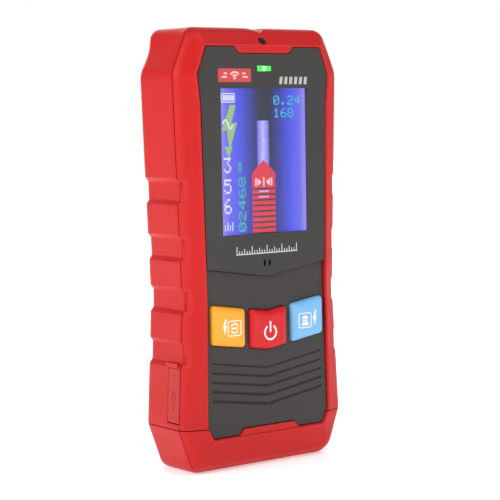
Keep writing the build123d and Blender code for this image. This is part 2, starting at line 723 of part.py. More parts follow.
# ---------------------------------------------------------------- display
def make_lcd():
    """Display glass, its backlight tray and its flex."""
    low = LCD_TOP_Z - LCD_H
    x = LCD_W / 2
    with BuildPart() as glass:
        box_between(-x, x, -11.0, -9.6, low, LCD_TOP_Z)
    save(glass, "lcd_glass")
    with BuildPart() as tray:
        box_between(-x, x, -9.6, -7.4, low, LCD_TOP_Z)
        box_between(-x + 0.4, x - 0.4, -9.7, -7.8, low + 0.4, LCD_TOP_Z - 0.4, Mode.SUBTRACT)
    save(tray, "lcd_tray")
    with BuildPart() as light:
        box_between(-x + 0.5, x - 0.5, -9.55, -7.85, low + 0.5, LCD_TOP_Z - 0.5)
    save(light, "backlight_panel")
    with BuildPart() as flex:
        box_between(-9, 9, -10.3, -3.9, low - 0.35, low - 0.05)
        box_between(-9, 9, -4.2, -3.9, low - 0.35, low + 7)
    save(flex, "lcd_flex")
    with BuildPart() as socket:
        box_between(-10, 10, -5.2, BOARD_Y, low + 7.05, low + 11)
    save(socket, "lcd_flex_socket")


def make_status_light():
    """Green light pipe in the window and the LED behind it."""
    with BuildPart() as pipe:
        box_between(-2.8, 2.8, LENS_Y, -4.8, 132.7, 134.3)
        box_between(-4.2, 4.2, CAVITY_Y + 0.05, -8.3, 131.4, 135.6)
    save(pipe, "status_light_pipe")
    with BuildPart() as led:
        box_between(-1.6, 1.6, -4.6, BOARD_Y, 132.7, 134.3)
    save(led, "status_led")


def make_centre_sight():
    """Dark plug at the bottom of the scoop that marks the centre line of the sensing head."""
    with BuildPart() as piece:
        with Locations(Location((0, FRONT_Y + 0.2, SIGHT_Z), (55, 0, 0))):
            with Locations((0, 0, -1.2)):
                Cylinder(1.3, 2.2, align=(Align.CENTER, Align.CENTER, Align.MAX))
                Cone(0.4, 1.0, 0.6, align=(Align.CENTER, Align.CENTER, Align.MAX), mode=Mode.SUBTRACT)
    save(piece, "centre_sight")


# ---------------------------------------------------------------- electronics
def make_main_board():
    """Main circuit board, with a tab for the charging socket."""
    with BuildPart() as piece:
        box_between(-23.5, 23.5, BOARD_Y, BOARD_BACK_Y, 17.2, 137.0)
        box_between(-29.0, -20, BOARD_Y, BOARD_BACK_Y, 19.0, 35.0)
        chamfer(piece.edges().filter_by(Axis.Y).group_by(Axis.Z)[-1], 4)
        rods(SCREW_PLACES, BOSS_R + 0.6, -7, 0, Mode.SUBTRACT)
        rods(POST_PLACES, 1.1, -7, 0, Mode.SUBTRACT)
    save(piece, "main_board")


def make_board_parts():
    """Chips, buzzer, charging socket, shield and the plug-in link to the sensor board."""
    with BuildPart() as chips:
        box_between(-17, -7, BOARD_BACK_Y, BOARD_BACK_Y + 1.4, 84, 94)
        box_between(-17, -12, BOARD_BACK_Y, BOARD_BACK_Y + 1.2, 74, 79)
        box_between(-5, 1, BOARD_BACK_Y, BOARD_BACK_Y + 1.6, 72, 77)
        box_between(-16, -11, BOARD_BACK_Y, BOARD_BACK_Y + 1.2, 112, 118)
        box_between(14, 19, BOARD_BACK_Y, BOARD_BACK_Y + 1.2, 84, 90)
    save(chips, "board_chips")
    with BuildPart() as shield:
        box_between(4, 20, BOARD_BACK_Y, BOARD_BACK_Y + 2.2, 110, 126)
        box_between(4.3, 19.7, BOARD_BACK_Y - 1, BOARD_BACK_Y + 1.9, 110.3, 125.7, Mode.SUBTRACT)
    save(shield, "shield_can")
    with BuildPart() as buzzer:
        rods([(0, 64.0)], 4.5, -6.6, BOARD_Y)
        rods([(0, 64.0)], 0.9, -7.4, -5.6, Mode.SUBTRACT)
    save(buzzer, "buzzer")
    with BuildPart() as socket:
        box_between(-30.2, -25.0, USB_Y - 1.3, USB_Y + 1.3, USB_Z - 3.75, USB_Z + 3.75)
        box_between(-32, -26.0, USB_Y - 1.0, USB_Y + 1.0, USB_Z - 3.45, USB_Z + 3.45, Mode.SUBTRACT)
        box_between(-29.8, -25.5, USB_Y - 0.3, USB_Y + 0.3, USB_Z - 2.6, USB_Z + 2.6)
    save(socket, "usb_socket")
    with BuildPart() as header:
        box_between(-6.5, 6.5, BOARD_BACK_Y, 0.9, 100.5, 105.5)
    save(header, "link_header")
    with BuildPart() as receptacle:
        box_between(-6.5, 6.5, 0.9, 8.6, 100.5, 105.5)
    save(receptacle, "link_receptacle")


def round_ring(half_x, half_z, radius, width, y0, y1):
    """Adds a rounded rectangular ring round the middle of the sensing head."""
    with BuildSketch(facing(y1)) as ring:
        with Locations((0, 103.0)):
            RectangleRounded(2 * half_x, 2 * half_z, radius)
            RectangleRounded(
                2 * (half_x - width), 2 * (half_z - width), radius - width, mode=Mode.SUBTRACT
            )
    extrude(ring.sketch, amount=y1 - y0)


def make_sensing_head():
    """Sensor board with its copper plates, and the search coil on its former."""
    with BuildPart() as board:
        box_between(-23, 23, 8.6, 9.8, 74.5, 129.5)
        rods(SENSOR_SCREW_PLACES, 1.1, 8, 11, Mode.SUBTRACT)
    save(board, "sensor_board")
    with BuildPart() as plates:
        for x0, x1 in ((-20, -1), (1, 20)):
            for z0, z1 in ((82, 102), (104, 126)):
                box_between(x0, x1, 9.8, 9.9, z0, z1)
    save(plates, "sensor_plates")
    with BuildPart() as former:
        round_ring(21, 22.5, 9, 6, 3.0, 3.8)
        round_ring(21, 22.5, 9, 6, 7.2, 8.6)
        round_ring(16.2, 17.7, 4.2, 1.2, 3.5, 7.5)
    save(former, "coil_former")
    with BuildPart() as coil:
        round_ring(20.4, 21.9, 8.4, 4.1, 3.85, 7.15)
    save(coil, "search_coil")


def make_battery():
    """Rechargeable pack with its lead, plug and cushion."""
    with BuildPart() as pack:
        box_between(-18.6, 18.6, 1.3, 9.8, 18.4, 60.6)
        fillet(pack.edges().filter_by(Axis.Z), 1.5)
    save(pack, "battery_pack")
    with BuildPart() as cushion:
        box_between(-15, 15, BAY_FLOOR_Y, 1.3, 21, 58)
    save(cushion, "battery_cushion")
    with BuildPart() as lead:
        for x in (10.6, 13.4):
            with Locations((x, 3.3, 63.4)):
                Cylinder(0.7, 5.6)
    save(lead, "battery_lead")
    with BuildPart() as plug:
        box_between(8.4, 15.6, 0.2, 5.2, 66.3, 72.3)
    save(plug, "battery_plug")
    with BuildPart() as socket:
        box_between(8.0, 16.0, BOARD_BACK_Y, 0.2, 66.3, 72.7)
    save(socket, "battery_socket")


# ---------------------------------------------------------------- fasteners, pads and label
def screws(name, places, head_y, tip_y, head_r, shank_r, head_t, towards_front):
    """Group of identical screws along Y: a domed head with a cross recess, and a shank."""
    out = 1 if towards_front else -1
    with BuildPart() as piece:
        for x, z in places:
            low, high = sorted((head_y, head_y + out * head_t))
            rods([(x, z)], head_r, low, high)
            low, high = sorted((head_y, tip_y))
            rods([(x, z)], shank_r, low, high)
            low, high = sorted((head_y + out * head_t, head_y + out * (head_t - 0.7)))
            arm, half = head_r * 0.6, 0.25
            box_between(x - arm, x + arm, low, high, z - half, z + half, Mode.SUBTRACT)
            box_between(x - half, x + half, low, high, z - arm, z + arm, Mode.SUBTRACT)
    save(piece, name)


def make_fasteners():
    """Every screw of the casing and boards."""
    screws("case_screws", SCREW_PLACES, 2.0, -9.6, 2.3, 1.0, 1.8, True)
    screws("upper_board_screws", POST_PLACES[:2], BOARD_Y, 2.2, 1.8, 0.75, 1.2, False)
    screws("lower_board_screws", POST_PLACES[2:], BOARD_Y, -0.3, 1.8, 0.75, 1.2, False)
    screws("sensor_screws", SENSOR_SCREW_PLACES, 8.6, 11.2, 1.8, 0.75, 1.0, False)
    screws("chin_screws", CHIN_SCREW_PLACES, -8.0, CHIN_SCREW_TIP_Y, 1.8, 0.75, 1.0, True)


def make_pads():
    """Felt glide pads and the rating label on the back."""
    with BuildPart() as pads:
        box_between(-20.8, 20.8, BACK_Y - 0.3, PAD_Y, 126.2, 134.8)
        box_between(-20.8, 20.8, BACK_Y - 0.3, PAD_Y, 68.7, 77.3)
        fillet(pads.edges().filter_by(Axis.Y), 1.5)
    save(pads, "glide_pads")
    with BuildPart() as cover_pad:
        box_between(-20.8, 20.8, BACK_Y - 0.3, PAD_Y, 5.4, 12.0)
        fillet(cover_pad.edges().filter_by(Axis.Y), 1.5)
    save(cover_pad, "cover_glide_pad")
    with BuildPart() as label:
        box_between(-18.8, 18.8, BACK_Y - 0.15, BACK_Y, 84.2, 117.8)
    save(label, "rating_label")


def main():
    """Builds and writes every piece."""
    os.makedirs("parts", exist_ok=True)
    make_front_frame()
    make_front_chin()
    make_rear_shell()
    make_battery_cover()
    make_usb_cover()
    make_display_lens()
    make_lens_tape()
    make_keypad_plate()
    for name in KEYS:
        make_key(name)
        make_switch_stem(name)
    make_switch_bodies()
    make_lcd()
    make_status_light()
    make_centre_sight()
    make_main_board()
    make_board_parts()
    make_sensing_head()
    make_battery()
    make_fasteners()
    make_pads()


main()
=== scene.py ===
"""Looks of the hand-held wall scanner: moulded red casing, dark panels, lit display, printed keys and studio.

Lengths are written in millimetres and turned into metres by MM. The frame is kept: +X right, -Y front,
+Z up.
"""

import math

import bmesh
import bpy
from mathutils import Matrix, Vector


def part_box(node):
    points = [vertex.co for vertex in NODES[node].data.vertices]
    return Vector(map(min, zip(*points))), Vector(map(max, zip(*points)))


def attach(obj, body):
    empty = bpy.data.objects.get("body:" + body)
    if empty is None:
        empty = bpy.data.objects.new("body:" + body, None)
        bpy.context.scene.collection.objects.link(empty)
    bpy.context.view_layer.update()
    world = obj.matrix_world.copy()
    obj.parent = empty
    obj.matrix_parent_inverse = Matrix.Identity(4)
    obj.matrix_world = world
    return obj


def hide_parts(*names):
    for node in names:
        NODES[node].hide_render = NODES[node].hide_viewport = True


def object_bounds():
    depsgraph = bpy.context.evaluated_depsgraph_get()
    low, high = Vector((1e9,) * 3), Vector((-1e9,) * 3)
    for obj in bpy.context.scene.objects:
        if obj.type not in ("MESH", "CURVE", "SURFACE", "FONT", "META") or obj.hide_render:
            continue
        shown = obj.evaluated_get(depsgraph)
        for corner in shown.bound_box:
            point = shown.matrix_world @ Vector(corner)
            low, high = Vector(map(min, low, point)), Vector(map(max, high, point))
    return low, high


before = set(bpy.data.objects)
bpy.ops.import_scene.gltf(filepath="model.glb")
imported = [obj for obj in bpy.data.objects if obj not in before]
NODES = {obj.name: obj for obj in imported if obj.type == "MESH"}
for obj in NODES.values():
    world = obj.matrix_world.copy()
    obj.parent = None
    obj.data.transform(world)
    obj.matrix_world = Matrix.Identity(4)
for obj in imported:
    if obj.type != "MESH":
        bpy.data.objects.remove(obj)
CAD_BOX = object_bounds()

MM = 0.001


def box_mm(node):
    """Lowest and highest corner of a CAD node, in millimetres."""
    low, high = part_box(node)
    return Vector(low) / MM, Vector(high) / MM


LENS_LOW, LENS_HIGH = box_mm("display_lens")
GLASS_LOW, GLASS_HIGH = box_mm("lcd_glass")
LENS_Y = LENS_LOW.y
LENS_BACK_Y = LENS_HIGH.y
GLASS_Y = GLASS_LOW.y
CREST_Y = box_mm("power_key")[0].y

CHEVRON = 0.15  # rise per mm of the V-shaped lines on the front
KEY_HEIGHT = 13.1
KEY_CORNER_R = 1.2
KEY_FLANGE = 0.6
PICTURE_HALF_W = 18.0
PICTURE_LOW_Z = GLASS_LOW.z + 9.6
PICTURE_TOP_Z = GLASS_HIGH.z - 2.7
INK = 0.03  # thickness of a printed layer
LAYER_STEP = 0.012  # between one layer of the picture and the next
ARROW_HALF_W = 4.9
BAR_PITCH = 1.85  # of the level bars under the arrow
WALL_LEAN = 0.054  # how far the lower side walls lean in per mm of height


# ---------------------------------------------------------------- materials
class Shader:
    """A node material with short calls for its usual stages."""

    def __init__(self, name):
        self.material = bpy.data.materials.new(name)
        self.material.use_nodes = True
        self.tree = self.material.node_tree
        self.surface = self.tree.nodes["Principled BSDF"]
        self.place = self.tree.nodes.new("ShaderNodeTexCoord").outputs["Object"]

    def node(self, kind, **inputs):
        made = self.tree.nodes.new(kind)
        for key, value in inputs.items():
            self.feed(value, made.inputs[key.replace("_", " ")])
        return made

    def feed(self, value, socket):
        if isinstance(value, bpy.types.NodeSocket):
            self.tree.links.new(value, socket)
        else:
            socket.default_value = value

    def set(self, **inputs):
        for key, value in inputs.items():
            self.feed(value, self.surface.inputs[key.replace("_", " ")])

    def noise(self, size_mm, detail=3.0, rough=0.5, stretch=(1, 1, 1)):
        """Noise whose features are about size_mm across."""
        mapped = self.node("ShaderNodeMapping", Vector=self.place, Scale=stretch)
        made = self.node("ShaderNodeTexNoise", Vector=mapped.outputs[0], Scale=1 / (size_mm * MM))
        made.inputs["Detail"].default_value = detail
        made.inputs["Roughness"].default_value = rough
        return made.outputs["Fac"]

    def remap(self, value, low, high, out_low, out_high):
        made = self.node("ShaderNodeMapRange", Value=value)
        limits = (low, high, out_low, out_high)
        for key, limit in zip(("From Min", "From Max", "To Min", "To Max"), limits):
            made.inputs[key].default_value = limit
        return made.outputs[0]

    def mix(self, share, a, b):
        made = self.tree.nodes.new("ShaderNodeMix")
        made.data_type = "RGBA"
        self.feed(share, made.inputs[0])
        self.feed(a, made.inputs[6])
        self.feed(b, made.inputs[7])
        return made.outputs[2]

    def math(self, operation, a, b=0.0):
        made = self.tree.nodes.new("ShaderNodeMath")
        made.operation = operation
        self.feed(a, made.inputs[0])
        self.feed(b, made.inputs[1])
        return made.outputs[0]

    def axis(self, name):
        """One coordinate of the point in the shared frame, in metres."""
        return self.node("ShaderNodeSeparateXYZ", Vector=self.place).outputs[name]

    def soft_edges(self, radius_mm):
        """Normal with edges rounded to a small moulded radius."""
        made = self.node("ShaderNodeBevel", Radius=radius_mm * MM)
        made.samples = 6
        return made.outputs[0]

    def edge_share(self, radius_mm):
        """1 on rounded edges, 0 on flat faces; the mask of the painted edge highlight."""
        bevel = self.soft_edges(radius_mm)
        plain = self.node("ShaderNodeNewGeometry").outputs["Normal"]
        dot = self.tree.nodes.new("ShaderNodeVectorMath")
        dot.operation = "DOT_PRODUCT"
        self.feed(bevel, dot.inputs[0])
        self.feed(plain, dot.inputs[1])
        return self.remap(dot.outputs["Value"], 1.0, 0.86, 0.0, 1.0)

    def bump(self, height, strength, depth_mm, normal=None):
        made = self.node("ShaderNodeBump", Height=height, Strength=strength, Distance=depth_mm * MM)
        if normal is not None:
            self.feed(normal, made.inputs["Normal"])
        return made.outputs[0]

    def apply(self, *objects):
        for item in objects:
            slots = item.data.materials
            slots.clear()
            slots.append(self.material)


def colour(r, g, b):
    """Display colour (0-255) as a linear RGBA value."""
    channels = []
    for value in (r, g, b):
        share = value / 255
        channels.append(share / 12.92 if share <= 0.04045 else ((share + 0.055) / 1.055) ** 2.4)
    return (*channels, 1.0)


def scaled(rgba, factor):
    return (*(min(1.0, channel * factor) for channel in rgba[:3]), 1.0)


def moulded(name, base, roughness, grain_mm=0.22, grain_depth=0.012, edge=0.25, spread=0.05):
    """Injection-moulded plastic: fine spark-eroded grain, faint flow marks and a painted highlight that
    lightens the edges.
    """
    shader = Shader(name)
    flow = shader.noise(26, detail=2, stretch=(1, 1, 0.45))
    tint = shader.remap(flow, 0.3, 0.7, 0.0, 1.0)
    body = shader.mix(tint, scaled(base, 1 - spread), scaled(base, 1 + spread))
    # Edges painted lighter than the faces: a painted highlight.
    painted_edge_highlight = shader.math("MULTIPLY", shader.edge_share(edge), 0.28)
    body = shader.mix(painted_edge_highlight, body, scaled(base, 1.35))
    grain = shader.noise(grain_mm, detail=4, rough=0.6)
    smudge = shader.noise(9, detail=4)
    shader.set(
        Base_Color=body,
        Roughness=shader.remap(smudge, 0.3, 0.7, roughness - 0.05, roughness + 0.05),
        Normal=shader.bump(grain, 0.55, grain_depth, shader.soft_edges(edge)),
    )
    shader.surface.inputs["Specular IOR Level"].default_value = 0.22
    return shader


def rubber(name, base, roughness=0.6):
    """Soft moulded elastomer with a matt skin."""
    shader = moulded(name, base, roughness, grain_mm=0.35, grain_depth=0.02, edge=0.2, spread=0.04)
    shader.set(Sheen_Weight=0.25, Sheen_Roughness=0.5)
    return shader


def metal(name, base, roughness):
    """Plated or drawn metal with fine directional scratches."""
    shader = Shader(name)
    scratch = shader.noise(0.5, detail=6, rough=0.7, stretch=(1, 1, 12))
    shader.set(
        Base_Color=shader.mix(scratch, scaled(base, 0.86), scaled(base, 1.1)),
        Metallic=1.0,
        Roughness=shader.remap(scratch, 0.3, 0.7, roughness - 0.07, roughness + 0.1),
        Normal=shader.bump(scratch, 0.35, 0.006, shader.soft_edges(0.08)),
    )
    return shader


def circuit_board(name):
    """Green solder mask over copper tracks, with a woven glass core showing faintly."""
    shader = Shader(name)
    tracks = shader.node("ShaderNodeTexBrick", Vector=shader.place, Scale=1.0)
    tracks.inputs["Brick Width"].default_value = 3.2 * MM
    tracks.inputs["Row Height"].default_value = 1.5 * MM
    tracks.inputs["Mortar Size"].default_value = 0.22 * MM
    mask = shader.mix(tracks.outputs["Fac"], colour(18, 92, 52), colour(42, 132, 74))
    weave = shader.noise(0.6, detail=2)
    shader.set(
        Base_Color=shader.mix(shader.math("MULTIPLY", weave, 0.35), mask, colour(10, 62, 36)),
        Roughness=0.32,
        Normal=shader.bump(tracks.outputs["Fac"], 0.5, 0.03),
    )
    return shader


def winding(name):
    """Enamelled copper wire, wound in rows."""
    shader = Shader(name)
    rows = shader.node("ShaderNodeTexWave", Vector=shader.place, Scale=1 / (1.6 * MM), Distortion=1.5)
    rows.bands_direction = "Y"
    ridge_and_shade = rows.outputs["Fac"]
    shader.set(
        # Colour follows the ridges: darker in the grooves between turns and lighter on their crests, a
        # painted shade and highlight.
        Base_Color=shader.mix(ridge_and_shade, colour(120, 48, 18), colour(214, 112, 52)),
        Metallic=0.85,
        Roughness=0.3,
        Normal=shader.bump(ridge_and_shade, 0.9, 0.12),
    )
    return shader


def felt(name, base):
    """Pressed felt: tangled fibres and a fuzzy sheen."""
    shader = Shader(name)
    fibre = shader.noise(0.5, detail=8, rough=0.75, stretch=(1, 1, 2.6))
    clump = shader.noise(2.4, detail=3)
    body = shader.mix(fibre, scaled(base, 0.55), scaled(base, 1.7))
    shader.set(
        Base_Color=shader.mix(shader.math("MULTIPLY", clump, 0.5), body, scaled(base, 0.8)),
        Roughness=0.95,
        Sheen_Weight=0.7,
        Sheen_Roughness=0.6,
        Normal=shader.bump(fibre, 1.0, 0.14),
    )
    return shader


def film(name, base, roughness=0.3, wrinkle=0.05):
    """Printed or shrunk film with soft wrinkles."""
    shader = Shader(name)
    crease = shader.noise(7, detail=3, stretch=(1, 1, 2))
    shader.set(
        Base_Color=shader.mix(crease, scaled(base, 0.9), scaled(base, 1.1)),
        Roughness=shader.remap(crease, 0.3, 0.7, roughness - 0.06, roughness + 0.08),
        Normal=shader.bump(crease, 0.6, wrinkle),
        Coat_Weight=0.2,
    )
    return shader


def ink(name, base, roughness=0.5):
    """Screen-printed ink, a little uneven in cover."""
    shader = Shader(name)
    cover = shader.noise(0.5, detail=3)
    shader.set(
        Base_Color=shader.mix(cover, scaled(base, 0.9), scaled(base, 1.04)),
        Roughness=roughness,
        Normal=shader.bump(cover, 0.3, 0.01),
    )
    return shader


def lit(name, base):
    """Lit area of the display, with the faint grid of its pixels."""
    shader = Shader(name)
    shader.set(
        Base_Color=(0.01, 0.01, 0.01, 1),
        Roughness=0.6,
        Emission_Color=pixel_grid(shader, base, 0.12),
        Emission_Strength=1.0,
    )
    return shader


def pixel_grid(shader, base, grid):
    """The colour dimmed along the lines between pixels."""
    cells = shader.node("ShaderNodeMapping", Vector=shader.place)
    cells.inputs["Rotation"].default_value = (math.pi / 2, 0, 0)
    bricks = shader.node("ShaderNodeTexBrick", Vector=cells.outputs[0], Scale=1.0)
    bricks.offset = 0.0
    bricks.inputs["Brick Width"].default_value = 0.3 * MM
    bricks.inputs["Row Height"].default_value = 0.3 * MM
    bricks.inputs["Mortar Size"].default_value = 0.02 * MM
    share = shader.math("MULTIPLY", bricks.outputs["Fac"], grid)
    gaps = (0, 0, 0, 1) if isinstance(base, bpy.types.NodeSocket) else scaled(base, 0.4)
    return shader.mix(share, base, gaps)


def picture_backdrop():
    """Blue backdrop of the picture: pale at both sides, nearly black in the middle."""
    shader = Shader("picture_backdrop")
    across = shader.remap(shader.axis("X"), -PICTURE_HALF_W * MM, PICTURE_HALF_W * MM, 0.0, 1.0)
    ramp = shader.node("ShaderNodeValToRGB", Fac=across)
    stops = [
        (0.0, colour(150, 140, 236)),
        (0.1, colour(96, 96, 236)),
        (0.22, colour(66, 76, 232)),
        (0.36, colour(34, 42, 150)),
        (0.46, colour(18, 22, 52)),
        (0.58, colour(16, 20, 46)),
        (0.68, colour(30, 38, 150)),
        (0.82, colour(64, 76, 232)),
        (0.93, colour(100, 100, 236)),
        (1.0, colour(158, 148, 238)),
    ]
    elements = ramp.color_ramp.elements
    while len(elements) < len(stops):
        elements.new(0.5)
    for element, (place, value) in zip(elements, stops):
        element.position = place
        element.color = value
    shader.set(
        Base_Color=(0.01, 0.01, 0.01, 1),
        Roughness=0.6,
        Emission_Color=pixel_grid(shader, ramp.outputs[0], 0.1),
        Emission_Strength=1.0,
    )
    return shader


def clear_pane(name, tint):
    """Thin clear plastic: lets the picture through and adds a soft reflection."""
    shader = Shader(name)
    dust = shader.noise(0.35, detail=3)
    gloss = shader.node("ShaderNodeBsdfGlossy", Roughness=0.16)
    shader.feed(shader.bump(dust, 0.2, 0.004), gloss.inputs["Normal"])
    through = shader.node("ShaderNodeBsdfTransparent", Color=tint)
    fresnel = shader.node("ShaderNodeFresnel", IOR=1.45)
    blend = shader.node("ShaderNodeMixShader")
    shader.feed(shader.math("MULTIPLY", fresnel.outputs[0], 0.12), blend.inputs[0])
    shader.feed(through.outputs[0], blend.inputs[1])
    shader.feed(gloss.outputs[0], blend.inputs[2])
    shader.feed(blend.outputs[0], shader.tree.nodes["Material Output"].inputs["Surface"])
    shader.tree.nodes.remove(shader.surface)
    return shader


def light_pipe():
    """Green light pipe with a white hot spot over its LED."""
    shader = Shader("light_pipe")
    off_centre = shader.math("ABSOLUTE", shader.axis("X"))
    spot = shader.remap(off_centre, 0.4 * MM, 1.1 * MM, 0.85, 0.0)
    grain = shader.noise(0.4, detail=2)
    glow = shader.mix(spot, colour(45, 255, 70), colour(235, 255, 225))
    shader.set(
        Base_Color=colour(30, 170, 50),
        Roughness=0.25,
        Emission_Color=shader.mix(shader.math("MULTIPLY", grain, 0.25), glow, colour(20, 190, 45)),
        Emission_Strength=1.0,
    )
    return shader


# ---------------------------------------------------------------- flat shapes, in x and z
def polygon(points):
    return [Vector(p) for p in points], [tuple(range(len(points)))]


def rectangle(x0, x1, z0, z1):
    return polygon([(x0, z0), (x1, z0), (x1, z1), (x0, z1)])


def ribbon(points, width, closed=False):
    """A line of constant width, as a strip of quads with mitred turns."""
    path = [Vector(p) for p in points]
    count = len(path)
    verts = []
    for i, point in enumerate(path):
        before = path[i - 1] if closed or i > 0 else point
        after = path[(i + 1) % count] if closed or i < count - 1 else point
        first = (point - before).normalized() if point != before else (after - point).normalized()
        second = (after - point).normalized() if after != point else first
        run = (first + second).normalized()
        side = Vector((-run.y, run.x))
        reach = width / 2 / max(0.4, side.dot(Vector((-first.y, first.x))))
        verts += [point + side * reach, point - side * reach]
    last = count if closed else count - 1
    faces = []
    for i in range(last):
        j = (i + 1) % count
        faces.append((2 * i, 2 * j, 2 * j + 1, 2 * i + 1))
    return verts, faces


def arc(cx, cz, r, start, end, steps):
    """Points along an arc; angles in degrees from +X."""
    turns = [math.radians(start + (end - start) * i / steps) for i in range(steps + 1)]
    return [(cx + r * math.cos(t), cz + r * math.sin(t)) for t in turns]


def rounded(x0, x1, z0, z1, r, steps=5):
    """Corner-rounded rectangle as a list of points."""
    return (
        arc(x1 - r, z1 - r, r, 0, 90, steps)
        + arc(x0 + r, z1 - r, r, 90, 180, steps)
        + arc(x0 + r, z0 + r, r, 180, 270, steps)
        + arc(x1 - r, z0 + r, r, 270, 360, steps)
    )


def bolt(cx, cz, height, lean=0.0, slim=1.0):
    """Lightning bolt with a pointed tail."""
    unit = [(0.12, 0.5), (0.34, 0.5), (0.14, 0.08), (0.38, 0.12)]
    unit += [(0.06, -0.5), (-0.04, -0.04), (-0.24, -0.08)]
    return polygon([(cx + (x * slim + lean * z) * height, cz + z * height) for x, z in unit])


def merged(shapes):
    verts, faces = [], []
    for some_verts, some_faces in shapes:
        start = len(verts)
        verts += some_verts
        faces += [tuple(start + i for i in face) for face in some_faces]
    return verts, faces


def finish_mesh(bm, name, smooth_angle=30):
    """Closes a bmesh into an object in the scene, with its units turned into metres."""
    bmesh.ops.recalc_face_normals(bm, faces=bm.faces)
    bmesh.ops.scale(bm, vec=(MM, MM, MM), verts=bm.verts)
    mesh = bpy.data.meshes.new(name)
    bm.to_mesh(mesh)
    bm.free()
    for face in mesh.polygons:
        face.use_smooth = True
    mesh.set_sharp_from_angle(angle=math.radians(smooth_angle))
    made = bpy.data.objects.new(name, mesh)
    bpy.context.collection.objects.link(made)
    return made


def slab(name, shapes, y_front, y_back):
    """Closed thin solid of flat shapes between two depths."""
    verts, faces = merged(shapes)
    bm = bmesh.new()
    front = [bm.verts.new((v.x, y_front, v.y)) for v in verts]
    back = [bm.verts.new((v.x, y_back, v.y)) for v in verts]
    edges = {}
    for face in faces:
        bm.faces.new([front[i] for i in face])
        bm.faces.new([back[i] for i in reversed(face)])
        for a, b in zip(face, face[1:] + face[:1]):
            key = (min(a, b), max(a, b))
            edges[key] = edges.get(key, 0) + 1
    for (a, b), uses in edges.items():
        if uses == 1:
            bm.faces.new((front[a], front[b], back[b], back[a]))
    return finish_mesh(bm, name)


def place(item, shader, body, slot=None):
    """Gives a piece its material and body; the slot argument is not used."""
    shader.apply(item)
    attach(item, body)
    return item


# ---------------------------------------------------------------- display
DIGITS = {
    "0": "01110 10001 10011 10101 11001 10001 01110",
    "1": "00100 01100 00100 00100 00100 00100 01110",
    "2": "01110 10001 00001 00110 01000 10000 11111",
    "3": "11111 00010 00100 00010 00001 10001 01110",
    "4": "00010 00110 01010 10010 11111 00010 00010",
    "5": "11111 10000 11110 00001 00001 10001 01110",
    "6": "00110 01000 10000 11110 10001 10001 01110",
    "8": "01110 10001 10001 01110 10001 10001 01110",
    ".": "00000 00000 00000 00000 00000 01100 01100",
}


def digits(text, x, z, cell_w, cell_h, upright=True):
    """Numbers in a five by seven dot face; x, z is the lower left corner, or the start of a rising line."""
    shapes = []
    for place_in_text, sign in enumerate(text):
        rows = DIGITS[sign].split()
        for row, line in enumerate(rows):
            for column, dot in enumerate(line):
                if dot == "0":
                    continue
                along = (place_in_text * 6 + column) * cell_w
                up = (6 - row) * cell_h
                if upright:
                    shapes.append(rectangle(x + along, x + along + cell_w, z + up, z + up + cell_h))
                else:
                    shapes.append(rectangle(x - up - cell_h, x - up, z + along, z + along + cell_w))
    return shapes


LAYER_Y = GLASS_Y - INK  # front of the picture's backdrop


def picture_piece(name, shapes, rgba, layer=1):
    """One coloured element of the picture, on the given layer above the backdrop."""
    front = LAYER_Y - LAYER_STEP * layer
    item = slab(name, shapes, front, front + 0.01)
    return place(item, lit(name, rgba), "casing", "display_glass")


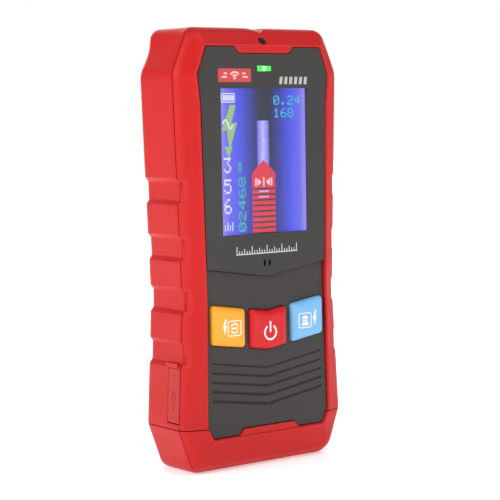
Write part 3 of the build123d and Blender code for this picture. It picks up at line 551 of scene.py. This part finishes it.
def make_picture():
    """The measuring screen: backdrop, centre arrow with level bars, symbols and numbers."""
    w, low, top = PICTURE_HALF_W, PICTURE_LOW_Z, PICTURE_TOP_Z
    back = slab("picture_backdrop", [rectangle(-w - 0.3, w + 0.3, low - 0.3, top + 0.3)], LAYER_Y, GLASS_Y)
    place(back, picture_backdrop(), "casing", "display_glass")

    stem = [rectangle(-2.5, 2.5, low + 21, low + 37.4)]
    column = slab("picture_column", stem, LAYER_Y - LAYER_STEP, LAYER_Y - 0.002)
    place(column, column_glow(), "casing", "display_glass")

    half = ARROW_HALF_W
    arrow = [(-half, low + 15), (half, low + 15), (half, low + 20), (0, low + 24.3), (-half, low + 20)]
    rises = [low + BAR_PITCH * i for i in range(8)]
    bars = [rectangle(-half, half, z + 0.2, z + 1.45) for z in rises]
    picture_piece("picture_arrow", [polygon(arrow)] + bars, colour(226, 28, 50), layer=2)

    glints = [rectangle(-2.1, 2.1, z + 11.75, z + 12.4) for z in rises[:2]]
    picture_piece("picture_glints", glints, colour(214, 176, 240), layer=2)

    mark_z = low + 17.0
    mark = [rectangle(-0.3, 0.3, mark_z - 1.5, mark_z + 1.5)]
    for side in (-1, 1):
        mark.append(polygon([(side * 0.9, mark_z), (side * 2.6, mark_z + 1.3), (side * 2.6, mark_z - 1.3)]))
        mark.append(rectangle(*sorted((side * 3.0, side * 3.6)), mark_z - 1.3, mark_z + 1.3))
    picture_piece("picture_centre_mark", mark, colour(250, 205, 225), layer=3)

    cell = [ribbon(rounded(-16.9, -11.6, top - 4.4, top - 1.6, 0.3), 0.35, closed=True)]
    cell += [rectangle(-16.4 + 1.15 * i, -15.4 + 1.15 * i, top - 3.9, top - 2.1) for i in range(4)]
    cell.append(rectangle(-17.5, -17.0, top - 3.6, top - 2.4))
    picture_piece("picture_battery", cell, colour(228, 225, 250))

    tail = [(-15.9, low + 29.0), (-12.7, low + 29.0), (-14.3, low + 25.2)]
    flash = [bolt(-14.6, low + 35.2, 15.0, lean=-0.02, slim=0.7), polygon(tail)]
    picture_piece("picture_bolt", flash, colour(150, 196, 118))

    wave = [(-16.6 + 0.42 * i, low + 36.4 + 1.5 * math.sin(i * math.tau / 10)) for i in range(11)]
    side_marks = [ribbon(wave, 0.6)]
    side_marks += digits("3", -16.4, low + 20.4, 0.58, 0.72)
    side_marks += digits("5", -16.4, low + 13.6, 0.58, 0.68)
    side_marks += digits("6", -16.4, low + 6.9, 0.58, 0.72)
    for i in range(4):
        x = -16.4 + 1.0 * i
        side_marks.append(rectangle(x, -16.0 + 1.0 * i, low + 1.3, low + 3.2 + 1.0 * (i % 2)))
    picture_piece("picture_depth", side_marks, colour(222, 222, 250), layer=2)

    level = digits("02468", -7.6, low + 0.8, 0.62, 0.44, upright=False)
    for i in range(4):
        z = low + 20.6 + 0.9 * i
        level.append(rectangle(-10.6, -9.2 + 0.25 * (i % 2), z, low + 21.1 + 0.9 * i))
    picture_piece("picture_level", level, colour(25, 190, 135))

    reading = digits("0.24", 4.6, top - 5.4, 0.5, 0.44) + digits("168", 4.6, top - 9.6, 0.5, 0.44)
    picture_piece("picture_reading", reading, colour(45, 190, 205))


def column_glow():
    """Pale column above the arrow, brightest along its middle."""
    shader = Shader("picture_column")
    off = shader.math("ABSOLUTE", shader.axis("X"))
    share = shader.remap(off, 0.0, 2.5 * MM, 1.0, 0.0)
    cloud = shader.noise(1.6, detail=2)
    share = shader.math("MULTIPLY", share, shader.remap(cloud, 0.3, 0.7, 0.7, 1.1))
    base = shader.mix(share, colour(92, 92, 220), colour(196, 196, 250))
    shader.set(Base_Color=(0.01, 0.01, 0.01, 1), Roughness=0.6, Emission_Color=base, Emission_Strength=1.0)
    return shader


def make_lens():
    """Dark printed window panel with a real opening, and the clear pane in it."""
    source = NODES["display_lens"]
    panel = bpy.data.objects.new("lens_panel", source.data.copy())
    bpy.context.collection.objects.link(panel)
    bm = bmesh.new()
    bmesh.ops.create_cube(bm, size=1.0)
    half = PICTURE_HALF_W + 0.1
    low, top = PICTURE_LOW_Z - 0.1, PICTURE_TOP_Z + 0.1
    for v in bm.verts:
        v.co = Vector((v.co.x * 2 * half, LENS_Y + v.co.y * 6, (low + top) / 2 + v.co.z * (top - low)))
    cutter = finish_mesh(bm, "window_cutter")
    cut = panel.modifiers.new("window", "BOOLEAN")
    cut.object = cutter
    cut.solver = "EXACT"
    graph = bpy.context.evaluated_depsgraph_get()
    graph.update()
    result = bpy.data.meshes.new_from_object(panel.evaluated_get(graph))
    panel.modifiers.clear()
    panel.data = result
    bpy.data.objects.remove(cutter)
    dark = moulded("panel_print", colour(56, 54, 53), 0.42, grain_mm=0.16, grain_depth=0.006, edge=0.12)
    place(panel, dark, "casing", "window")
    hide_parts("display_lens")
    gap = 0.03
    pane = slab(
        "window_pane",
        [rectangle(-half + gap, half - gap, low + gap, top - gap)],
        LENS_Y + 0.04,
        LENS_BACK_Y - 0.02,
    )
    place(pane, clear_pane("window_clear", (0.97, 0.97, 0.99, 1)), "casing", "window")


def make_panel_prints():
    """Printed marks on the window panel: badge, ruler and accent bars. None of them is lettering."""
    front, back = LENS_Y - INK, LENS_Y + 0.01
    top = PICTURE_TOP_Z
    badge = slab("print_badge", [polygon(rounded(-19.05, -5.6, top + 2.1, top + 6.5, 0.25))], front, back)
    place(badge, ink("ink_badge", colour(196, 58, 60)), "casing", "window")
    cx, cz = -12.3, top + 3.4
    waves = [ribbon(arc(cx, cz, r, 35, 145, 14), 0.55) for r in (1.0, 2.0)]
    waves.append(polygon(arc(cx, cz, 0.45, 0, 330, 11)))
    waves += [rectangle(*sorted((cx + s * 3.2, cx + s * 5.3)), cz + 0.1, cz + 0.65) for s in (-1, 1)]
    waves += [rectangle(*sorted((cx + s * 3.2, cx + s * 4.4)), cz + 1.25, cz + 1.8) for s in (-1, 1)]
    symbol = slab("print_badge_symbol", waves, front - 0.01, back)
    place(symbol, ink("ink_badge_symbol", colour(226, 190, 190)), "casing", "window")
    bars = []
    for i in range(6):
        x, z0, z1 = 6.2 + 2.1 * i, top + 1.4, top + 3.9
        lean = 0.35
        bars.append(polygon([(x, z0), (x + 1.2, z0), (x + 1.2 + lean, z1), (x + lean, z1)]))
    accent = slab("print_accent", bars, front, back)
    place(accent, ink("ink_accent", colour(176, 174, 172)), "casing", "window")
    z = PICTURE_LOW_Z - 4.2
    ruler = [rectangle(-12.9, 12.9, z - 2.6, z - 2.3)]
    for i in range(25):
        tall = 2.5 if i % 6 == 0 else (1.7 if i % 3 == 0 else 1.0)
        x = -12.75 + i * 25.2 / 24
        ruler.append(rectangle(x, x + 0.3, z - 2.3, z - 2.3 + tall))
    ruler_print = slab("print_ruler", ruler, front, back)
    place(ruler_print, ink("ink_ruler", colour(205, 204, 203)), "casing", "window")


# ---------------------------------------------------------------- keys
def key_loop(x0, x1, base_z, grow=0.0):
    """Outline of a key as evenly turned points: V-shaped top and bottom lines and round corners."""
    r = KEY_CORNER_R + grow
    turns = [x for x in (x0, 0.0, x1) if x0 <= x <= x1]

    def low(x):
        return base_z + CHEVRON * abs(x)

    corners = [(x, low(x)) for x in turns] + [(x, low(x) + KEY_HEIGHT) for x in reversed(turns)]
    points = []
    count = len(corners)
    for i, corner in enumerate(corners):
        p = Vector(corner)
        a = (Vector(corners[i - 1]) - p).normalized()
        b = (Vector(corners[(i + 1) % count]) - p).normalized()
        if abs(p.x) < 0.01:
            points.append(p + Vector((0, grow if corner[1] > base_z + 1 else -grow)))
            continue
        half = a.angle(b) / 2
        centre = p + (a + b).normalized() * (KEY_CORNER_R / math.sin(half))
        start = p + a * (KEY_CORNER_R / math.tan(half)) - centre
        end = p + b * (KEY_CORNER_R / math.tan(half)) - centre
        for k in range(7):
            spoke = start.lerp(end, k / 6).normalized()
            points.append(centre + spoke * r)
    return densify(points)


def densify(points, step=0.7):
    """Adds points along the long straight sides."""
    out = []
    for i, p in enumerate(points):
        q = points[(i + 1) % len(points)]
        pieces = max(1, math.ceil((q - p).length / step))
        out += [p.lerp(q, k / pieces) for k in range(pieces)]
    return out


def make_key(node, shader, slot):
    """Pillow-shaped key with its retaining flange and post, as one closed mesh."""
    low, high = box_mm(node)
    x0, x1 = low.x + KEY_FLANGE, high.x - KEY_FLANGE
    base_z = box_mm("power_key")[0].z + KEY_FLANGE
    outline = key_loop(x0, x1, base_z)
    middle = Vector(((x0 + x1) / 2, base_z + KEY_HEIGHT / 2 + CHEVRON * abs(x0 + x1) / 2))
    rear_y, post_y = high.y - 0.7, high.y
    shoulder_y, crest_y = CREST_Y + 1.9, CREST_Y + 0.05
    crown = crest_y - shoulder_y
    flange = [middle + (p - middle) * (1 + KEY_FLANGE / max(4.0, (p - middle).length) * 0.9) for p in outline]
    post = [middle + (p - middle).normalized() * 1.8 for p in outline]
    rings = [(post, post_y), (post, rear_y), (flange, rear_y)]
    rings += [(flange, rear_y - 0.9), (outline, rear_y - 0.9), (outline, shoulder_y)]
    steps = 26
    for i in range(1, steps):
        share = math.cos(i / steps * math.pi / 2) ** 0.55
        lift = (1 - share**6.5) ** 0.5
        rings.append(([middle + (p - middle) * share for p in outline], shoulder_y + crown * lift))
    bm = bmesh.new()
    layers = [[bm.verts.new((p.x, y, p.y)) for p in loop] for loop, y in rings]
    count = len(outline)
    for a, b in zip(layers, layers[1:]):
        for i in range(count):
            j = (i + 1) % count
            bm.faces.new((a[i], a[j], b[j], b[i]))
    bm.faces.new(list(reversed(layers[0])))
    tip = bm.verts.new((middle.x, crest_y, middle.y))
    for i in range(count):
        bm.faces.new((layers[-1][i], layers[-1][(i + 1) % count], tip))
    key = finish_mesh(bm, node + "_cap", smooth_angle=50)
    place(key, shader, node, slot)
    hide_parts(node)
    return middle, crest_y


def make_keys():
    """The three keys with their printed symbols."""
    white = ink("ink_white", colour(245, 240, 236), 0.45)
    finish = {"grain_mm": 0.3, "grain_depth": 0.006, "edge": 0.2, "spread": 0.03}
    yellow = moulded("key_yellow", colour(246, 166, 50), 0.36, **finish)
    red = moulded("key_red", colour(204, 28, 36), 0.36, **finish)
    blue = moulded("key_blue", colour(120, 178, 226), 0.36, **finish)

    middle, crest = make_key("power_key", red, "key_red")
    symbol = [
        ribbon(arc(0, middle.y - 0.65, 2.4, 122, 418, 40), 0.6),
        polygon(rounded(-0.32, 0.32, middle.y - 0.65, middle.y + 3.2, 0.31)),
    ]
    place(slab("power_symbol", symbol, crest - 0.03, crest + 0.12), white, "power_key", "key_red")

    for node, shader, side in (("left_key", yellow, -1), ("right_key", blue, 1)):
        middle, crest = make_key(node, shader, "key_yellow" if side < 0 else "key_blue")
        x, z = side * 15.0, middle.y - 0.5
        shapes = [ribbon(rounded(x - 2.65, x + 2.65, z - 2.45, z + 2.45, 0.7), 0.32, closed=True)]
        if side < 0:
            shapes += [
                ribbon(arc(x, z + 0.2, 1.35, 20, 160, 10), 0.42),
                ribbon(arc(x, z - 0.2, 1.35, 200, 340, 10), 0.42),
                rectangle(x - 1.2, x + 1.2, z - 0.25, z + 0.25),
            ]
        else:
            shapes += [
                polygon([(x - 1.6, z - 1.7), (x + 1.6, z - 1.7), (x + 1.1, z - 0.5), (x - 1.1, z - 0.5)]),
                rectangle(x - 1.0, x + 1.0, z - 0.2, z + 0.25),
                polygon([(x - 1.3, z + 0.6), (x + 1.3, z + 0.6), (x + 0.8, z + 1.6), (x - 0.8, z + 1.6)]),
            ]
        shapes.append(bolt(side * 19.1 - 0.1, z + 0.6, 5.4, lean=0.03, slim=0.52))
        place(slab(node + "_symbol", shapes, crest - 0.03, crest + 0.14), white, node)


def make_flap_marks():
    """Raised triangle and plug symbol on the outer face of the charging port's cover."""
    low, high = box_mm("usb_cover")
    middle_y = (low.y + high.y) / 2
    shapes = [
        polygon([(-0.55, 33.0), (0.55, 33.0), (0, 34.1)]),
        ribbon(rounded(-0.95, 0.95, 25.0, 27.2, 0.45), 0.26, closed=True),
        rectangle(-0.6, -0.34, 27.4, 28.7),
        rectangle(0.34, 0.6, 27.4, 28.7),
        rectangle(-0.13, 0.13, 21.6, 24.8),
    ]
    marks = slab("usb_cover_marks", shapes, -0.1, 0.05)
    foot_z = low.z + 0.8
    for vertex in marks.data.vertices:
        across, out, height = vertex.co / MM
        wall_x = low.x + (height - foot_z) * WALL_LEAN
        vertex.co = Vector((wall_x + out, middle_y - across, height)) * MM
    place(marks, rubber("flap_mark", colour(160, 24, 24)), "usb_cover", "flap_red")


def make_label_print():
    """Plain frame, rule lines and battery outline printed on the label on the back."""
    low, high = box_mm("rating_label")
    x0, x1, z0, z1 = low.x + 2.0, high.x - 2.0, low.z + 2.0, high.z - 2.0
    shapes = [ribbon(rounded(x0, x1, z0, z1, 1.6), 0.4, closed=True)]
    shapes.append(rectangle(x0 + 2.0, x1 - 2.0, z1 - 6.6, z1 - 6.25))
    for row, share in enumerate((0.92, 0.78, 0.86, 0.55)):
        top = z1 - 9.4 - row * 2.3
        shapes.append(rectangle(x1 - 2.2 - share * 15.0, x1 - 2.2, top - 0.7, top))
    shapes.append(ribbon(rounded(x0 + 3.0, x0 + 12.0, z1 - 15.6, z1 - 10.6, 0.7), 0.45, closed=True))
    shapes += [rectangle(x0 + 4.2 + i * 2.5, x0 + 5.8 + i * 2.5, z1 - 14.5, z1 - 11.7) for i in range(3)]
    shapes.append(rectangle(x0 + 1.9, x0 + 2.7, z1 - 14.2, z1 - 12.0))
    for tick in range(25):
        x = x0 + 2.4 + tick * (x1 - x0 - 4.8) / 24
        shapes.append(rectangle(x - 0.15, x + 0.15, z0 + 2.4, z0 + (6.2 if tick % 5 == 0 else 4.2)))
    shapes.append(rectangle(x0 + 2.25, x1 - 2.25, z0 + 2.1, z0 + 2.4))
    print_slab = slab("rating_label_print", shapes, high.y - 0.03, high.y + 0.04)
    place(print_slab, ink("label_ink", colour(70, 70, 74)), "casing")


# ---------------------------------------------------------------- materials of the carried-over nodes
def dress_nodes():
    """Materials for every CAD node that is shown as it is."""
    case_finish = {"grain_mm": 0.28, "grain_depth": 0.009, "edge": 0.22, "spread": 0.03}
    case = moulded("case_red", colour(189, 25, 24), 0.42, **case_finish)
    plate = moulded("panel_dark", colour(59, 56, 54), 0.5, grain_mm=0.2, grain_depth=0.012, edge=0.2)
    black = moulded("plastic_black", colour(28, 28, 30), 0.45)
    cream = moulded("plastic_cream", colour(214, 204, 178), 0.45)
    steel = metal("steel_bright", colour(200, 200, 202), 0.25)
    zinc = metal("screw_zinc", colour(196, 192, 178), 0.3)
    board = circuit_board("board_green")
    looks = {
        case: ("front_frame", "front_chin", "rear_shell", "battery_cover"),
        rubber("flap_red", colour(184, 27, 26)): ("usb_cover",),
        plate: ("keypad_plate",),
        # centre_sight is black to stand in for the dark hole and shadow at the bottom of the sight scoop:
        # painted shade.
        black: ("lens_tape", "board_chips", "buzzer", "link_header", "link_receptacle", "centre_sight"),
        moulded("stem_black", colour(24, 24, 25), 0.5): (
            "left_switch_stem",
            "power_switch_stem",
            "right_switch_stem",
        ),
        cream: ("lcd_flex_socket", "battery_plug", "battery_socket"),
        moulded("plastic_white", colour(232, 232, 228), 0.4): ("lcd_tray", "backlight_panel", "status_led"),
        moulded("former_natural", colour(222, 214, 186), 0.5): ("coil_former",),
        film("display_black", colour(16, 18, 30), 0.12, wrinkle=0.0): ("lcd_glass",),
        film("flex_amber", colour(176, 104, 38), 0.25): ("lcd_flex",),
        film("pack_blue", colour(32, 78, 158), 0.28, wrinkle=0.12): ("battery_pack",),
        film("label_silver", colour(196, 196, 194), 0.35, wrinkle=0.02): ("rating_label",),
        steel: ("switch_bodies", "shield_can", "usb_socket"),
        zinc: ("upper_board_screws", "lower_board_screws", "sensor_screws", "chin_screws"),
        metal("screw_black", colour(62, 62, 66), 0.38): ("case_screws",),
        board: ("main_board", "sensor_board"),
        metal("copper_foil", colour(226, 150, 108), 0.3): ("sensor_plates",),
        winding("copper_wire"): ("search_coil",),
        felt("felt_grey", colour(98, 98, 101)): ("glide_pads", "cover_glide_pad"),
        felt("foam_grey", colour(70, 70, 74)): ("battery_cushion",),
        rubber("lead_insulation", colour(170, 28, 26), 0.4): ("battery_lead",),
        light_pipe(): ("status_light_pipe",),
    }
    for shader, names in looks.items():
        shader.apply(*[NODES[name] for name in names])
    dressed = [name for names in looks.values() for name in names]
    replaced = {"display_lens", "left_key", "power_key", "right_key"}
    missing = set(NODES) - set(dressed) - replaced
    if missing:
        raise RuntimeError("no material for " + ", ".join(sorted(missing)))


# ---------------------------------------------------------------- studio
def make_floor():
    """Pale seamless floor, glowing white far out and dimmer near the object: a painted shadow round its foot.
    """
    bm = bmesh.new()
    reach = 3000.0
    grid = bmesh.ops.create_grid(bm, x_segments=8, y_segments=8, size=reach)
    low = CAD_BOX[0][2] / MM
    for v in grid["verts"]:
        v.co.z = low
    floor = finish_mesh(bm, "studio_floor")
    shader = Shader("studio_floor")
    cloud = shader.noise(180, detail=2)
    shader.set(Base_Color=shader.mix(cloud, (0.9, 0.9, 0.9, 1), (0.93, 0.93, 0.93, 1)), Roughness=0.85)
    reach_out = shader.tree.nodes.new("ShaderNodeVectorMath")
    reach_out.operation = "LENGTH"
    shader.feed(shader.place, reach_out.inputs[0])
    # Glow 1.0 beyond 120 mm from the middle, down to 0.42 within 25 mm: a painted shadow pool round the
    # object.
    glow_with_painted_shadow = shader.remap(reach_out.outputs["Value"], 25 * MM, 120 * MM, 0.42, 1.0)
    shader.set(Emission_Color=(1, 1, 1, 1), Emission_Strength=glow_with_painted_shadow)
    shader.apply(floor)


def area_light(name, place_mm, aim_mm, size_mm, watts):
    data = bpy.data.lights.new(name, "AREA")
    data.shape = "RECTANGLE"
    data.size, data.size_y = size_mm[0] * MM, size_mm[1] * MM
    data.energy = watts
    light = bpy.data.objects.new(name, data)
    bpy.context.collection.objects.link(light)
    light.location = Vector(place_mm) * MM
    direction = Vector(aim_mm) - Vector(place_mm)
    light.rotation_euler = direction.to_track_quat("-Z", "Y").to_euler()


def make_lights():
    """Broad soft boxes and an even white surround."""
    aim = (0, 0, 75)
    area_light("key_light", (-690, -90, 400), aim, (460, 460), 2.9)
    area_light("front_fill", (260, -800, 80), aim, (600, 160), 0.85)
    area_light("top_fill", (60, -330, 640), (0, 0, 130), (400, 300), 1.2)
    area_light("back_fill", (300, 700, 420), aim, (700, 500), 2.5)
    world = bpy.data.worlds.new("studio")
    bpy.context.scene.world = world
    world.use_nodes = True
    tree = world.node_tree
    background = tree.nodes["Background"]
    rays = tree.nodes.new("ShaderNodeLightPath").outputs["Is Camera Ray"]
    strength = tree.nodes.new("ShaderNodeMapRange")
    strength.inputs["To Min"].default_value = 0.36
    strength.inputs["To Max"].default_value = 1.0
    tree.links.new(rays, strength.inputs["Value"])
    tree.links.new(strength.outputs[0], background.inputs["Strength"])
    background.inputs["Color"].default_value = (1, 1, 1, 1)


def make_camera():
    """Camera at the viewing angle of the product picture: from the left, a little above the middle."""
    azimuth, elevation, roll = math.radians(-37.29), math.radians(4.6), math.radians(-0.97)
    target = Vector((-7.2, -12.3, 73.6))
    distance = 532.8
    back = Vector(
        (
            math.sin(azimuth) * math.cos(elevation),
            -math.cos(azimuth) * math.cos(elevation),
            math.sin(elevation),
        )
    )
    right = (-back).cross(Vector((0, 0, 1))).normalized()
    up = right.cross(-back)
    right, up = (
        right * math.cos(roll) + up * math.sin(roll),
        up * math.cos(roll) - right * math.sin(roll),
    )
    data = bpy.data.cameras.new("camera")
    data.lens = 115.7
    data.sensor_width = 36
    data.clip_start, data.clip_end = 0.01, 20
    camera = bpy.data.objects.new("camera", data)
    bpy.context.collection.objects.link(camera)
    turn = Matrix((right, up, back)).transposed().to_4x4()
    camera.matrix_world = Matrix.Translation((target + back * distance) * MM) @ turn
    bpy.context.scene.camera = camera


def main():
    dress_nodes()
    make_lens()
    make_panel_prints()
    make_picture()
    make_keys()
    make_flap_marks()
    make_label_print()
    make_floor()
    make_lights()
    make_camera()
    bpy.context.scene.view_settings.view_transform = "Standard"


main()
bpy.context.view_layer.update()
